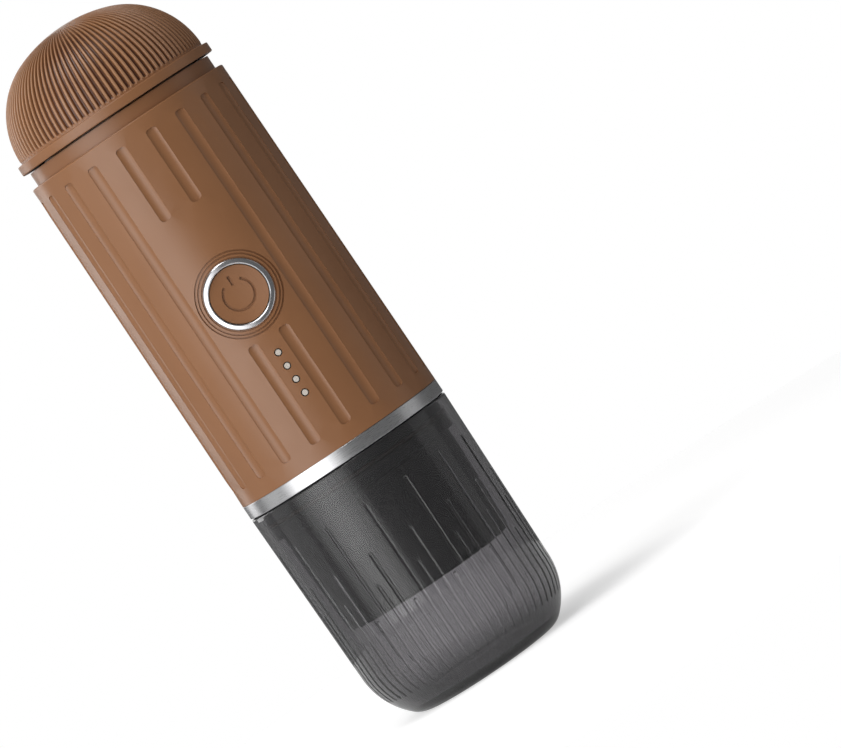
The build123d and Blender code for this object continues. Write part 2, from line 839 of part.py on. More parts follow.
with BuildPart() as motor_shaft:
    add(rod((0, motor_y), shaft_radius, z_pump - pin_seat + body_gap, z_motor + shaft_grip))
save(motor_shaft.part, "motor_shaft")

with BuildPart() as idler_pin:
    add(rod((0, idler_y), shaft_radius, z_pump - pin_seat + body_gap, z_gear_top + pin_seat))
save(idler_pin.part, "idler_pin")

# Water tank with its heater, under the collar that the lid screws onto
spout_root = 27.4
spout_crest = 28.7
spout_height = 10.8
tank_bore = 24.8
tank_wall = 0.6
tank_rim_radius = 27.2
tank_depth = 48.0
deck_thickness = 2.5
collar_wall = 2.1
outlet_nipple = 2.0
outlet_nipple_bore = 1.2
outlet_nipple_length = 8.0
z_spout_top = z_deck + spout_height
z_tank_rim = z_spout_top + tank_wall
z_tank = z_tank_rim - tank_depth
spout_bore = tank_bore + tank_wall + fit_gap
spout_lug_low = z_deck + start_pitch

with BuildPart() as tank_collar:
    revolve(
        outline(
            (spout_bore, z_deck - deck_thickness),
            (neck_radius - collar_wall, z_deck - deck_thickness),
            (neck_radius - collar_wall, ledge_top),
            (neck_radius, ledge_top),
            (neck_radius, z_deck),
            (spout_root, z_deck),
            (spout_root, z_spout_top),
            (spout_bore, z_spout_top),
        ),
        axis=Axis.Z,
    )
    for place in range(thread_starts):
        add(thread_lug(
            spout_root - weld, spout_crest, spout_lug_low, male_arc, full_turn * place / thread_starts,
        ))
save(tank_collar.part, "tank_collar")

with BuildPart() as water_tank:
    revolve(
        outline(
            (0, z_tank),
            (tank_bore + tank_wall, z_tank),
            (tank_bore + tank_wall, z_spout_top),
            (tank_rim_radius, z_spout_top),
            (tank_rim_radius, z_tank_rim),
            (tank_bore, z_tank_rim),
            (tank_bore, z_tank + tank_wall),
            (0, z_tank + tank_wall),
        ),
        axis=Axis.Z,
    )
    outlet_low = z_tank - outlet_nipple_length
    add(rod((suction_x, port_y), outlet_nipple, outlet_low, z_tank + tank_wall))
    add(rod((suction_x, port_y), outlet_nipple_bore, outlet_low - overrun, z_tank + overrun),
        mode=Mode.SUBTRACT)
save(water_tank.part, "water_tank")

heater_thickness = 3.5
heater_radius = 24.5
sleeve_thickness = 4.0
sleeve_height = 22.0
thermostat_radius = 7.0
thermostat_height = 3.5
thermostat_tab = 3.0
thermostat_tab_reach = 11.0
thermostat_tab_thickness = 0.8
probe_radius = 1.5
probe_length = 3.0
probe_place = (10.0, 12.0)
z_heater = z_tank - heater_thickness

with BuildPart() as heater_plate:
    add(rod((0, 0), heater_radius, z_heater, z_tank))
    add(rod((suction_x, port_y), suction_outer + body_gap, z_heater - overrun, z_tank + overrun),
        mode=Mode.SUBTRACT)
    chamfer(heater_plate.edges().group_by(Axis.Z)[0].sort_by(SortBy.RADIUS)[-1], length=fit_gap)
save(heater_plate.part, "heater_plate")

with BuildPart() as insulation_sleeve:
    revolve(
        band_profile(
            tank_bore + tank_wall + fit_gap, tank_bore + tank_wall + sleeve_thickness,
            z_tank, z_tank + sleeve_height,
        ),
        axis=Axis.Z,
    )
save(insulation_sleeve.part, "insulation_sleeve")

with BuildPart() as thermostat:
    add(rod((0, 0), thermostat_radius, z_heater - thermostat_height, z_heater))
    for side in (-1, 1):
        add(block(min(0, side * thermostat_tab_reach), max(0, side * thermostat_tab_reach),
                  -thermostat_tab / 2, thermostat_tab / 2,
                  z_heater - thermostat_height, z_heater - thermostat_height + thermostat_tab_thickness))
save(thermostat.part, "thermostat")

with BuildPart() as temperature_probe:
    add(rod(probe_place, probe_radius, z_heater - probe_length, z_heater))
save(temperature_probe.part, "temperature_probe")

with BuildPart() as suction_hose:
    add(hose(
        (
            (suction_x, port_y, z_tank - outlet_nipple_length / 2),
            (suction_x, port_y, z_port),
            (-pump_radius - fit_gap, port_y, z_port),
        ),
        suction_bend, suction_outer, suction_inner,
    ))
save(suction_hose.part, "suction_hose")

fitting_radius = 3.0
fitting_height = 2.2
fitting_reach = 6.0
with BuildPart() as pressure_inlet:
    fitting_top = z_head_top + fitting_reach
    add(rod((inlet_x, port_y), fitting_radius, z_head_top, z_head_top + fitting_height))
    add(rod((inlet_x, port_y), pressure_nipple, z_head_top, fitting_top))
    add(rod((inlet_x, port_y), pressure_nipple_bore, z_head_top - overrun, fitting_top + overrun),
        mode=Mode.SUBTRACT)
save(pressure_inlet.part, "pressure_inlet")

with BuildPart() as pressure_hose:
    add(hose(
        (
            (pump_radius, port_y, z_port),
            (inlet_x, port_y, z_port),
            (inlet_x, port_y, z_head_top + fitting_height + fit_gap),
        ),
        pressure_bend, pressure_outer, pressure_inner,
    ))
save(pressure_hose.part, "pressure_hose")

# Lid: a ribbed dome with a threaded liner, and the seal that floats under it
dome_wall = 2.2
dome_flute_count = 100
dome_flute_depth = 0.7
dome_flute_start = 1.0
dome_flute_inner = 9.0
dome_flute_share = 0.55
liner_bore = 29.9
liner_female = 27.8
liner_flange_radius = 33.0
liner_flange = 1.4
liner_plate = 1.5
lid_seal_inner = 24.2
lid_seal_outer = 27.6
lid_seal_height = 2.0
z_seal = z_tank_rim + body_gap
z_liner_plate = z_seal + lid_seal_height + body_gap
liner_lug_low = spout_lug_low - start_pitch / 2
# The shoulder arc meets the crown arc smoothly; this is its radius
crown_offset = dome_crown_radius - dome_rise
shoulder_arc = (
    (dome_crown_radius ** 2 - dome_base_radius ** 2 - crown_offset ** 2)
    / (2 * (dome_crown_radius - dome_base_radius))
)
shoulder_centre = (dome_base_radius - shoulder_arc, z_shoulder)
crown_centre = (0, z_apex - dome_crown_radius)
meeting_angle = math.degrees(math.atan2(z_shoulder - crown_centre[1], shoulder_centre[0]))


def dome_profile(inset, bottom):
    """Solid dome profile, a given distance inside the outer surface."""
    with BuildSketch(Plane.XZ) as profile:
        with BuildLine():
            Polyline((0, bottom), (dome_base_radius - inset, bottom), (dome_base_radius - inset, z_shoulder))
            ThreePointArc(
                (dome_base_radius - inset, z_shoulder),
                arc_point(shoulder_centre, shoulder_arc - inset, meeting_angle / 2),
                arc_point(shoulder_centre, shoulder_arc - inset, meeting_angle),
            )
            ThreePointArc(
                arc_point(crown_centre, dome_crown_radius - inset, meeting_angle),
                arc_point(crown_centre, dome_crown_radius - inset, (meeting_angle + 90) / 2),
                (0, z_apex - inset),
            )
            Line((0, z_apex - inset), (0, bottom))
        make_face()
    return profile.sketch


# One flute: a narrow slice between the outer surface and a surface just below it
flute_floor_radius = shoulder_arc - dome_flute_depth
flute_floor_crown = dome_crown_radius - dome_flute_depth
flute_crown_angle = math.degrees(math.acos(dome_flute_inner / dome_crown_radius))
flute_crown_middle = (meeting_angle + flute_crown_angle) / 2
with BuildPart() as dome_flute:
    with BuildSketch(Plane.XZ):
        with BuildLine():
            low_inside = arc_point(shoulder_centre, flute_floor_radius, dome_flute_start)
            low_outside = arc_point(shoulder_centre, shoulder_arc + overrun, dome_flute_start)
            high_inside = arc_point(crown_centre, dome_crown_radius, flute_crown_angle)
            high_outside = arc_point(crown_centre, dome_crown_radius + overrun, flute_crown_angle)
            ThreePointArc(
                low_inside,
                arc_point(shoulder_centre, flute_floor_radius, meeting_angle / 2),
                arc_point(shoulder_centre, flute_floor_radius, meeting_angle),
            )
            ThreePointArc(
                arc_point(crown_centre, flute_floor_crown, meeting_angle),
                arc_point(crown_centre, flute_floor_crown + dome_flute_depth / 2, flute_crown_middle),
                high_inside,
            )
            Line(high_inside, high_outside)
            ThreePointArc(
                high_outside,
                arc_point(crown_centre, dome_crown_radius + overrun, flute_crown_middle),
                arc_point(crown_centre, dome_crown_radius + overrun, meeting_angle),
            )
            ThreePointArc(
                arc_point(shoulder_centre, shoulder_arc + overrun, meeting_angle),
                arc_point(shoulder_centre, shoulder_arc + overrun, meeting_angle / 2),
                low_outside,
            )
            Line(low_outside, low_inside)
        make_face()
    revolve(axis=Axis.Z, revolution_arc=full_turn / dome_flute_count * dome_flute_share)

with BuildPart() as lid_dome:
    revolve(dome_profile(0, z_flange), axis=Axis.Z)
    revolve(band_profile(0, flange_radius, z_flange, z_dome), axis=Axis.Z)
    revolve(dome_profile(dome_wall, z_flange - overrun), axis=Axis.Z, mode=Mode.SUBTRACT)
    revolve(
        band_profile(0, liner_flange_radius + fit_gap, z_flange - overrun, z_flange + liner_flange),
        axis=Axis.Z,
        mode=Mode.SUBTRACT,
    )
    flange_rims = lid_dome.edges().filter_by(
        lambda edge: edge.geom_type == GeomType.CIRCLE and edge.radius > liner_flange_radius + dome_wall
    )
    fillet(flange_rims, radius=shell_edge)
    with PolarLocations(0, dome_flute_count):
        add(dome_flute.part, mode=Mode.SUBTRACT)
save(lid_dome.part, "lid_dome")


def dome_inner_radius(height):
    """Inner radius of the dome's shoulder at a height."""
    rise = height - z_shoulder
    return shoulder_centre[0] + math.sqrt((shoulder_arc - dome_wall) ** 2 - rise ** 2)


liner_neck = lid_seal_outer + body_gap
z_liner_step = spout_lug_low + thread_lead * male_arc / full_turn + lug_thickness
z_liner_neck = z_liner_step + liner_bore - liner_neck
z_liner_top = z_liner_plate + liner_plate

with BuildPart() as lid_liner:
    revolve(
        outline(
            (liner_bore, z_flange),
            (liner_flange_radius, z_flange),
            (liner_flange_radius, z_flange + liner_flange),
            (dome_inner_radius(z_shoulder) - fit_gap, z_flange + liner_flange),
            (dome_inner_radius(z_shoulder) - fit_gap, z_shoulder),
            (dome_inner_radius(z_liner_neck) - fit_gap, z_liner_neck),
            (dome_inner_radius(z_liner_top) - fit_gap, z_liner_top),
            (0, z_liner_top),
            (0, z_liner_plate),
            (liner_neck, z_liner_plate),
            (liner_neck, z_liner_neck),
            (liner_bore, z_liner_step),
        ),
        axis=Axis.Z,
    )
    for place in range(thread_starts):
        add(thread_lug(
            liner_female, liner_bore + weld, liner_lug_low, female_arc, full_turn * place / thread_starts,
        ))
save(lid_liner.part, "lid_liner")

with BuildPart() as lid_seal:
    revolve(band_profile(lid_seal_inner, lid_seal_outer, z_seal, z_seal + lid_seal_height), axis=Axis.Z)
save(lid_seal.part, "lid_seal")

# Button: a chrome bezel in the shell, a dished cap and the stem of its switch
cap_radius = bezel_bore - body_gap
cap_face = 34.3
cap_plate = 2.0
cap_skirt = 1.4
cap_lip_radius = 10.4
cap_lip = 1.0
cap_dish = 0.5
symbol_radius = 4.9
symbol_width = 0.9
symbol_depth = 0.45
symbol_gap_angle = 35.0
symbol_line = 3.2
switch_side = 6.0
switch_height = 3.5
stem_radius = 1.5
stem_stop = 28.6
switch_bore_floor = 27.3
cap_back = bezel_flange_back - body_gap - cap_lip
bezel_front = shell_radius(button_height) + bezel_proud

with BuildPart() as button_bezel:
    add(cross_rod(0, button_height, bezel_radius, -cup_rim_radius, -bezel_flange_back))
    add(cross_rod(0, button_height, bezel_flange_radius,
                  -bezel_flange_back - bezel_flange_height, -bezel_flange_back))
    with BuildPart(mode=Mode.PRIVATE) as envelope:
        with Locations((0, 0, button_height)):
            Cylinder(bezel_front, 2 * bezel_flange_radius + 2 * overrun)
    add(envelope.part, mode=Mode.INTERSECT)
    add(cross_rod(0, button_height, bezel_bore, -cup_rim_radius - overrun, 0), mode=Mode.SUBTRACT)
    rims = button_bezel.faces().sort_by(Axis.Y)[0].edges()
    chamfer(rims, length=bezel_edge)
save(button_bezel.part, "button_bezel")

with BuildPart() as button_cap:
    add(cross_rod(0, button_height, cap_radius, -cap_face, -cap_back))
    add(cross_rod(0, button_height, cap_lip_radius, -cap_back - cap_lip, -cap_back))
    add(cross_rod(0, button_height, cap_radius - cap_skirt, -cap_face + cap_plate, 0), mode=Mode.SUBTRACT)
    dish_sphere = (cap_radius ** 2 + cap_dish ** 2) / (2 * cap_dish)
    with Locations((0, -cap_face + cap_dish - dish_sphere, button_height)):
        Sphere(dish_sphere, mode=Mode.SUBTRACT)
    with BuildSketch(Plane.XZ.offset(cap_face)):
        with Locations((0, button_height)):
            Circle(symbol_radius + symbol_width / 2)
            Circle(symbol_radius - symbol_width / 2, mode=Mode.SUBTRACT)
        with BuildLine():
            gap_half = symbol_radius * 2 * math.tan(math.radians(symbol_gap_angle))
            Polyline(
                (0, button_height),
                (gap_half, button_height + symbol_radius * 2),
                (-gap_half, button_height + symbol_radius * 2),
                close=True,
            )
        make_face(mode=Mode.SUBTRACT)
        with Locations((0, button_height + symbol_radius)):
            Rectangle(symbol_width, symbol_line)
    extrude(amount=-cap_dish - symbol_depth, mode=Mode.SUBTRACT)
save(button_cap.part, "button_cap")

with BuildPart() as switch_plunger:
    add(cross_rod(0, button_height, stem_radius, -cap_face + cap_plate, -stem_stop))
save(switch_plunger.part, "switch_plunger")

with BuildPart() as tact_switch:
    add(block(-switch_side / 2, switch_side / 2, board_front - switch_height, board_front,
              button_height - switch_side / 2, button_height + switch_side / 2))
    add(cross_rod(0, button_height, stem_radius + body_gap, board_front - switch_height - overrun,
                  -switch_bore_floor), mode=Mode.SUBTRACT)
save(tact_switch.part, "tact_switch")

chip_side = 9.0
chip_height = 1.2
chip_z = 134.0
with BuildPart() as main_board:
    add(block(-board_half_width, board_half_width, board_front, board_back, board_low, board_high))
    for side in (-1, 1):
        for screw_height in board_screw_heights:
            add(cross_rod(side * rail_x, screw_height, screw_shank + snug_gap,
                          board_front - overrun, board_back + overrun), mode=Mode.SUBTRACT)
save(main_board.part, "main_board")

with BuildPart() as control_chip:
    add(block(-chip_side / 2, chip_side / 2, board_back, board_back + chip_height,
              chip_z - chip_side / 2, chip_z + chip_side / 2))
save(control_chip.part, "control_chip")

with BuildPart() as board_screws:
    for side in (-1, 1):
        for screw_height in board_screw_heights:
            add(cross_rod(side * rail_x, screw_height, screw_head,
                          board_front - board_screw_head, board_front))
            add(cross_rod(side * rail_x, screw_height, screw_shank,
                          board_front, board_back + board_screw_length - fit_gap))
save(board_screws.part, "board_screws")

# Status lights: four lamps on the board and the light guide that carries them to the shell
lamp_side = 2.0
lamp_height = 0.9
guide_half_width = 2.6
guide_end = 2.4
guide_front = 33.0
guide_back = 26.8
guide_foot = 1.6
with BuildPart() as status_lamps:
    for light_height in light_heights:
        add(block(-lamp_side / 2, lamp_side / 2, board_front - lamp_height, board_front,
                  light_height - lamp_side / 2, light_height + lamp_side / 2))
save(status_lamps.part, "status_lamps")

with BuildPart() as light_guide:
    guide_low = light_heights[-1] - guide_end - guide_foot
    guide_high = light_heights[0] + guide_end + guide_foot
    add(block(-guide_half_width, guide_half_width, -guide_front, -guide_back, guide_low, guide_high))
    for foot_low in (guide_low, guide_high - guide_foot):
        add(block(-guide_half_width, guide_half_width, -guide_back, board_front,
                  foot_low, foot_low + guide_foot))
    for light_height in light_heights:
        light_face = shell_radius(light_height) - light_recess
        add(cross_rod(0, light_height, light_radius, -light_face, -guide_front))
save(light_guide.part, "light_guide")

# Charging socket, its board and its flap
with BuildPart() as usb_socket:
    with BuildSketch(Plane.XZ.offset(-usb_back)):
        with Locations((0, usb_height)):
            RectangleRounded(usb_socket_width, usb_socket_height, usb_socket_height / 2 - usb_skin)
    extrude(amount=-usb_depth)
    with BuildSketch(Plane.XZ.offset(-usb_back - usb_skin)):
        with Locations((0, usb_height)):
            RectangleRounded(
                usb_socket_width - 2 * usb_skin,
                usb_socket_height - 2 * usb_skin,
                usb_socket_height / 2 - 2 * usb_skin,
            )
            Rectangle(usb_socket_width - usb_socket_height, usb_tongue, mode=Mode.SUBTRACT)
    extrude(amount=-usb_depth, mode=Mode.SUBTRACT)
save(usb_socket.part, "usb_socket")

with BuildPart() as usb_board:
    add(block(-usb_board_half, usb_board_half, usb_back, usb_back + usb_depth - usb_board_thickness,
              z_usb_board, z_usb_board + usb_board_thickness))
save(usb_board.part, "usb_board")

with BuildPart() as usb_cover:
    flap_outer = shell_radius(usb_height)
    with BuildSketch(Plane.XZ.offset(-cup_rim_radius)):
        with Locations((0, usb_height)):
            Rectangle(flap_width, flap_height)
    extrude(amount=cup_rim_radius)
    with BuildPart(mode=Mode.PRIVATE) as flap_shape:
        with Locations((0, 0, usb_height)):
            Cylinder(flap_outer, 2 * flap_height)
            Cylinder(flap_outer - flap_thickness, 2 * flap_height, mode=Mode.SUBTRACT)
        with Locations((0, -flap_outer, usb_height)):
            Box(4 * flap_outer, 2 * flap_outer, 2 * flap_height, mode=Mode.SUBTRACT)
    add(flap_shape.part, mode=Mode.INTERSECT)
    with BuildSketch(Plane.YZ.offset(-flap_width / 2 - flap_trunnion)):
        with Locations((flap_hinge_y, flap_top)):
            Circle(flap_hinge_radius)
    extrude(amount=flap_width + 2 * flap_trunnion)
save(usb_cover.part, "usb_cover")
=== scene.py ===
"""The looks of the portable espresso maker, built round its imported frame. Metres, +Z up, front at -Y."""
import json
import math

import bpy
import numpy as np
from mathutils import Matrix, Vector


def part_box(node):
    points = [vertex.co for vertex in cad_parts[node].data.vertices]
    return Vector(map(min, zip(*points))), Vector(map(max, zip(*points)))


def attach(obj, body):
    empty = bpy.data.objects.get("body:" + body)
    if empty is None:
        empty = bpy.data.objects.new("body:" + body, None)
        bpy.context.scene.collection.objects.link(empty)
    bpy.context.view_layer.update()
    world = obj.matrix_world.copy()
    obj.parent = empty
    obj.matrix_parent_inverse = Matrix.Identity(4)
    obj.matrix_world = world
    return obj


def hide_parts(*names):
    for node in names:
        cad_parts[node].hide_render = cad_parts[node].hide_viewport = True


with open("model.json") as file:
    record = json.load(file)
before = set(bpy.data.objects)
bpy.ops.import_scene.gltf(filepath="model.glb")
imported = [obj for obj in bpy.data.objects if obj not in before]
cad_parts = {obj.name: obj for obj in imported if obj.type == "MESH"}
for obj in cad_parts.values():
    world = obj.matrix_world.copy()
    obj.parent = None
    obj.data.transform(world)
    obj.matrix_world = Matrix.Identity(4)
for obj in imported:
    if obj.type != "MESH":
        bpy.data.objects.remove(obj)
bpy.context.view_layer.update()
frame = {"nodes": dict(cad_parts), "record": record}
nodes = frame["nodes"]
record = frame["record"]

MM = 0.001
FULL_TURN = 2 * math.pi
WHITE = (1.0, 1.0, 1.0, 1.0)
BLACK = (0.0, 0.0, 0.0, 1.0)


# Camera: a long lens a little above the object's middle, rolled so that the object leans left
camera_place = Vector((0.0, -2.0, 0.163))
camera_target = Vector((0.03305, 0.0, 0.0881))
camera_roll = math.radians(33.83)
camera_lens = 275.0
camera_range = 50.0
sensor_width = 36.0


def place_camera():
    """The photograph's camera."""
    forward = (camera_target - camera_place).normalized()
    upward = Vector((math.sin(camera_roll), 0.0, math.cos(camera_roll)))
    right = forward.cross(upward).normalized()
    upward = right.cross(forward)
    data = bpy.data.cameras.new("camera")
    data.lens = camera_lens
    data.sensor_width = sensor_width
    data.sensor_fit = "HORIZONTAL"
    data.clip_end = camera_range
    camera = bpy.data.objects.new("camera", data)
    turn = Matrix((right, upward, -forward)).transposed().to_4x4()
    camera.matrix_world = Matrix.Translation(camera_place) @ turn
    bpy.context.scene.collection.objects.link(camera)
    bpy.context.scene.camera = camera


place_camera()


# Materials. Noise keeps near its middle, so a span usually starts and ends there
noise_low = 0.3
noise_high = 0.7
noise_roughness = 0.55
brush_roughness = 0.6
soft_detail = 2.0
usual_detail = 3.0
rich_detail = 4.0
new_stop = 0.5


class Nodes:
    """Short calls for the nodes and links of a node tree."""

    def __init__(self, tree):
        self.tree = tree

    def node(self, kind, **settings):
        made = self.tree.nodes.new(kind)
        for key, value in settings.items():
            setattr(made, key, value)
        return made

    def link(self, source, output, target, socket):
        self.tree.links.new(source.outputs[output], target.inputs[socket])

    def set(self, target, **values):
        """Sets sockets by their names, with underscores for the spaces."""
        for key, value in values.items():
            target.inputs[key.replace("_", " ")].default_value = value


class Surface(Nodes):
    """A new material with short calls for its textures."""

    def __init__(self, name):
        self.material = bpy.data.materials.new(name)
        self.material.use_nodes = True
        super().__init__(self.material.node_tree)
        self.tree.nodes.clear()
        self.output = self.node("ShaderNodeOutputMaterial")
        self.shader = self.node("ShaderNodeBsdfPrincipled")
        self.link(self.shader, "BSDF", self.output, "Surface")

    def place(self, scale=(1.0, 1.0, 1.0)):
        """Object coordinates, which are the part's own metres, stretched by a scale."""
        coordinates = self.node("ShaderNodeTexCoord")
        mapping = self.node("ShaderNodeMapping")
        self.set(mapping, Scale=scale)
        self.link(coordinates, "Object", mapping, "Vector")
        return mapping

    def noise(self, mapping, scale, detail=usual_detail, roughness=noise_roughness):
        """Cloudy noise with a number of clouds per metre."""
        texture = self.node("ShaderNodeTexNoise")
        self.set(texture, Scale=scale, Detail=detail, Roughness=roughness)
        self.link(mapping, "Vector", texture, "Vector")
        return texture

    def span(self, source, output, low, high, from_low=noise_low, from_high=noise_high):
        """Maps a value to a range."""
        ranger = self.node("ShaderNodeMapRange")
        self.set(ranger, From_Min=from_low, From_Max=from_high, To_Min=low, To_Max=high)
        self.link(source, output, ranger, "Value")
        return ranger

    def steps(self, source, output, stops):
        """Maps a value to grey levels given at places from 0 to 1."""
        ramp = self.node("ShaderNodeValToRGB")
        elements = ramp.color_ramp.elements
        while len(elements) < len(stops):
            elements.new(new_stop)
        for element, (position, level) in zip(elements, stops):
            element.position = position
            element.color = (level, level, level, 1.0)
        self.link(source, output, ramp, "Fac")
        return ramp

    def blend(self, source, output, first, second):
        """Mixes two colours by a value."""
        mixer = self.node("ShaderNodeMix", data_type="RGBA")
        self.set(mixer, A=(*first, 1.0), B=(*second, 1.0))
        self.link(source, output, mixer, "Factor")
        return mixer

    def cuts(self):
        """How deep a piece's grooves are cut: 0 on the open surface, 1 at the bottom, less on ridges."""
        return self.node("ShaderNodeAttribute", attribute_name="cut")

    def bump(self, source, output, distance):
        """Adds a bump of a real height to the shader's normal."""
        bumper = self.node("ShaderNodeBump")
        self.set(bumper, Distance=distance, Strength=1.0)
        self.link(source, output, bumper, "Height")
        self.link(bumper, "Normal", self.shader, "Normal")


# Sizes of the materials' clouds, in clouds per metre
tint_scale = 38.0
smudge_scale = 85.0
haze_scale = 60.0
ripple_scale = 140.0
floor_scale = 30.0
fine_grain = 2400.0
coarse_grain = 900.0

# Heights of the materials' grain
moulded_height = 0.012 * MM
satin_height = 0.0005 * MM
foam_height = 0.15 * MM
brush_height = 0.0015 * MM
ripple_height = 0.002 * MM

# Painted shade in grooves, along the edges of the cup's lines and towards its foot, and painted highlight
# on ridges and along the lines' middles, as shares of a material's own colour
groove_shade_shares = (0.40, 0.28, 0.20)
cut_steps = ((0.45, 0.0), (0.85, 1.0))
ridge_cut = -0.14
ridge_highlight_gains = (1.36, 1.55, 1.85)
line_shade_steps = ((0.0, 0.83), (0.06, 0.48), (0.5, 0.48), (0.85, 1.0))
foot_shade_shares = (0.60, 0.60, 0.60)
foot_low = 6.5 * MM
foot_high = 11.5 * MM

# Optics of the plastics
smoke_density = 310.0
satin_specular = 0.3
smoked_ior = 1.42
smoked_specular = 0.25
smoked_coat = 0.8
smoked_coat_roughness = 0.5


def scaled(colour, shares):
    """A colour with each of its parts taken by a share."""
    return tuple(part * share for part, share in zip(colour, shares))


def moulded(name, first, second, rough_low, rough_high, grain=fine_grain, grain_height=moulded_height,
            **settings):
    """Moulded plastic or rubber: cloudy colour with painted shade in cut grooves and a painted highlight
    on raised ridges, with uneven gloss and a fine grain."""
    surface = Surface(name)
    place = surface.place()
    clouds = surface.noise(place, tint_scale)
    tint = surface.span(clouds, "Fac", 0.0, 1.0)
    colour = surface.blend(tint, "Result", first, second)
    # Painted shade: the colour darkens towards the bottom of cut grooves, where shade falls
    grooves = surface.steps(surface.cuts(), "Fac", cut_steps)
    painted_groove_shade = surface.blend(grooves, "Color", first, scaled(first, groove_shade_shares))
    surface.link(colour, "Result", painted_groove_shade, "A")
    # Painted highlight: the colour lightens on raised ridges
    ridges = surface.span(surface.cuts(), "Fac", 0.0, 1.0, 0.0, ridge_cut)
    ridge_highlight = surface.blend(ridges, "Result", first, scaled(first, ridge_highlight_gains))
    surface.link(painted_groove_shade, "Result", ridge_highlight, "A")
    surface.link(ridge_highlight, "Result", surface.shader, "Base Color")
    smudges = surface.noise(place, smudge_scale, rich_detail)
    gloss = surface.span(smudges, "Fac", rough_low, rough_high)
    surface.link(gloss, "Result", surface.shader, "Roughness")
    grain_texture = surface.noise(place, grain, soft_detail)
    surface.bump(grain_texture, "Fac", grain_height)
    surface.set(surface.shader, **settings)
    return surface.material


def metal(name, first, second, rough_low, rough_high, brush=(1.0, 1.0, 1.0), brush_scale=coarse_grain):
    """Metal with a brushed or drawn grain that runs along the short scale."""
    surface = Surface(name)
    grain = surface.noise(surface.place(brush), brush_scale, rich_detail, brush_roughness)
    tint = surface.span(grain, "Fac", 0.0, 1.0)
    colour = surface.blend(tint, "Result", first, second)
    surface.link(colour, "Result", surface.shader, "Base Color")
    gloss = surface.span(grain, "Fac", rough_low, rough_high)
    surface.link(gloss, "Result", surface.shader, "Roughness")
    surface.bump(grain, "Fac", brush_height)
    surface.set(surface.shader, Metallic=1.0)
    return surface.material


def smoked(name, tint, haze_tint, density, rough_low, rough_high):
    """Clear smoked plastic, darker where light passes through more of it; its colour has painted shade
    towards its thick foot and along the edges of its moulded lines, and a painted highlight along their
    thin middles."""
    surface = Surface(name)
    place = surface.place()
    haze = surface.noise(place, haze_scale, rich_detail)
    gloss = surface.span(haze, "Fac", rough_low, rough_high)
    surface.link(gloss, "Result", surface.shader, "Roughness")
    colour = surface.blend(haze, "Fac", tint, haze_tint)
    height = surface.node("ShaderNodeSeparateXYZ")
    surface.link(place, "Vector", height, "Vector")
    # Painted shade: the colour darkens towards the cup's foot
    rise = surface.span(height, "Z", 0.0, 1.0, foot_low, foot_high)
    painted_foot_shade = surface.blend(rise, "Result", scaled(tint, foot_shade_shares), tint)
    surface.link(colour, "Result", painted_foot_shade, "B")
    # Painted shade along the edges of the moulded lines and a painted highlight along their middles
    painted_line_shade = surface.node("ShaderNodeMix", data_type="RGBA", blend_type="MULTIPLY")
    surface.set(painted_line_shade, Factor=1.0)
    surface.link(painted_foot_shade, "Result", painted_line_shade, "A")
    surface.link(surface.steps(surface.cuts(), "Fac", line_shade_steps), "Color", painted_line_shade, "B")
    surface.link(painted_line_shade, "Result", surface.shader, "Base Color")
    surface.bump(surface.noise(place, ripple_scale), "Fac", ripple_height)
    surface.set(surface.shader, Transmission_Weight=1.0, IOR=smoked_ior,
                Specular_IOR_Level=smoked_specular, Coat_Weight=smoked_coat,
                Coat_Roughness=smoked_coat_roughness)
    absorption = surface.node("ShaderNodeVolumeAbsorption")
    surface.set(absorption, Color=BLACK, Density=density)
    surface.link(absorption, "Volume", surface.output, "Volume")
    return surface.material


